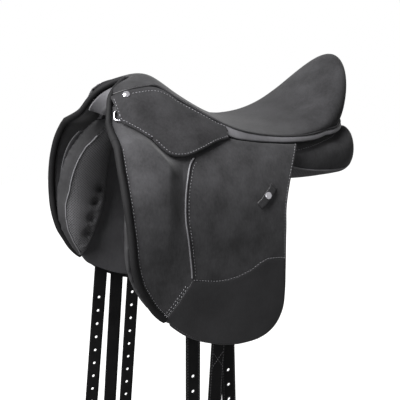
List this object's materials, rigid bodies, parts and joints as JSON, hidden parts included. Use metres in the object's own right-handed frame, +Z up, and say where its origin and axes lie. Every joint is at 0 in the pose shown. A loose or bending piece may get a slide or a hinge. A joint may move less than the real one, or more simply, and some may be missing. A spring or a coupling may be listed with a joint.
{
  "type": "dressage saddle",
  "caption": "Black dressage saddle: deep seat on a tree, cushioned panels, long straight flaps with knee blocks, girth straps, stirrup bars and dee rings; flaps and skirts lift.",
  "frame": {"origin": "on the centre plane in the spine channel, below the deepest part of the seat, where a horse's back or a rack carries the saddle", "axes": "+X forward to the pommel, +Y to the rider's left, +Z up"},
  "size_m": [0.5108, 0.3566, 0.7425],
  "materials": {
    "suede": "matte synthetic suede",
    "smooth": "smooth grained, satin",
    "panel": "soft, finely perforated",
    "lining": "smooth, satin",
    "strap": "smooth, satin",
    "piping": "smooth, satin",
    "welt": "smooth, satin",
    "tree": "moulded, matte",
    "web": "woven",
    "steel": "brushed",
    "bright": "polished"
  },
  "bodies": {
    "root": {"seat": "suede", "seat_welt": "welt", "seat_band": "smooth", "tree": "tree", "gullet_plate": "steel", "gullet_screws": "steel", "gullet_lining": "lining", "pommel_roll": "smooth", "tree_side_left": "tree", "skirt_left": "suede", "skirt_rivet_left": "bright", "flap_head_left": "suede", "sweat_flap_left": "smooth", "panel_left": "panel", "panel_front_left": "panel", "girth_web_left": "web", "girth_rivets_left": "steel", "stirrup_bar_left": "steel", "dee_chape_left": "strap", "tree_side_right": "tree", "skirt_right": "suede", "skirt_rivet_right": "bright", "flap_head_right": "suede", "sweat_flap_right": "smooth", "panel_right": "panel", "panel_front_right": "panel", "girth_web_right": "web", "girth_rivets_right": "steel", "stirrup_bar_right": "steel", "dee_chape_right": "strap"},
    "flap_left": {"flap_left": "suede", "flap_roll_left": "smooth", "knee_block_left": "suede", "flap_foot_left": "smooth", "flap_piping_left": "piping", "keeper_left": "strap", "keeper_stud_left": "bright"},
    "skirt_lobe_left": {"skirt_lobe_left": "suede"},
    "dee_ring_left": {"dee_ring_left": "bright"},
    "stirrup_catch_left": {"stirrup_catch_left": "steel"},
    "girth_strap_left_front": {"girth_strap_left_front": "strap"},
    "girth_strap_left_middle": {"girth_strap_left_middle": "strap"},
    "girth_strap_left_rear": {"girth_strap_left_rear": "strap"},
    "flap_right": {"flap_right": "suede", "flap_roll_right": "smooth", "knee_block_right": "suede", "flap_foot_right": "smooth", "flap_piping_right": "piping", "keeper_right": "strap", "keeper_stud_right": "bright"},
    "skirt_lobe_right": {"skirt_lobe_right": "suede"},
    "dee_ring_right": {"dee_ring_right": "bright"},
    "stirrup_catch_right": {"stirrup_catch_right": "steel"},
    "girth_strap_right_front": {"girth_strap_right_front": "strap"},
    "girth_strap_right_middle": {"girth_strap_right_middle": "strap"},
    "girth_strap_right_rear": {"girth_strap_right_rear": "strap"}
  },
  "joints": [
    {"name": "flap_lift_left", "type": "hinge", "parent": "root", "child": "flap_left", "pos_m": [0.1, 0.11692, 0.1082], "axis": [1, 0, 0], "range_deg": [0, 75]},
    {"name": "skirt_lift_left", "type": "hinge", "parent": "flap_left", "child": "skirt_lobe_left", "pos_m": [0.13, 0.11692, 0.1082], "axis": [1, 0, 0], "range_deg": [0, 60]},
    {"name": "dee_swing_left", "type": "hinge", "parent": "root", "child": "dee_ring_left", "pos_m": [0.22156, 0.05528, 0.14367], "axis": [0.8783, -0.4781, 0], "range_deg": [0, 5]},
    {"name": "catch_turn_left", "type": "hinge", "parent": "root", "child": "stirrup_catch_left", "pos_m": [0.119, 0.11766, 0.09294], "axis": [0, 0.7684, 0.6399], "range_deg": [0, 45]},
    {"name": "strap_swing_left_front", "type": "hinge", "parent": "root", "child": "girth_strap_left_front", "pos_m": [0.156, 0.1621, -0.02], "axis": [0, 1, 0], "range_deg": [-12, 12]},
    {"name": "strap_swing_left_middle", "type": "hinge", "parent": "root", "child": "girth_strap_left_middle", "pos_m": [0.098, 0.1663, -0.02], "axis": [0, 1, 0], "range_deg": [-12, 12]},
    {"name": "strap_swing_left_rear", "type": "hinge", "parent": "root", "child": "girth_strap_left_rear", "pos_m": [0.095, 0.1579, -0.06], "axis": [0, 1, 0], "range_deg": [-12, 12]},
    {"name": "flap_lift_right", "type": "hinge", "parent": "root", "child": "flap_right", "pos_m": [0.1, -0.11692, 0.1082], "axis": [-1, 0, 0], "range_deg": [0, 75]},
    {"name": "skirt_lift_right", "type": "hinge", "parent": "flap_right", "child": "skirt_lobe_right", "pos_m": [0.13, -0.11692, 0.1082], "axis": [-1, 0, 0], "range_deg": [0, 60]},
    {"name": "dee_swing_right", "type": "hinge", "parent": "root", "child": "dee_ring_right", "pos_m": [0.22156, -0.05528, 0.14367], "axis": [-0.8783, -0.4781, 0], "range_deg": [0, 5]},
    {"name": "catch_turn_right", "type": "hinge", "parent": "root", "child": "stirrup_catch_right", "pos_m": [0.119, -0.11766, 0.09294], "axis": [0, 0.7684, -0.6399], "range_deg": [0, 45]},
    {"name": "strap_swing_right_front", "type": "hinge", "parent": "root", "child": "girth_strap_right_front", "pos_m": [0.156, -0.1621, -0.02], "axis": [0, 1, 0], "range_deg": [-12, 12]},
    {"name": "strap_swing_right_middle", "type": "hinge", "parent": "root", "child": "girth_strap_right_middle", "pos_m": [0.124, -0.1663, -0.02], "axis": [0, 1, 0], "range_deg": [-12, 12]},
    {"name": "strap_swing_right_rear", "type": "hinge", "parent": "root", "child": "girth_strap_right_rear", "pos_m": [0.095, -0.1579, -0.06], "axis": [0, 1, 0], "range_deg": [-12, 12]}
  ]
}
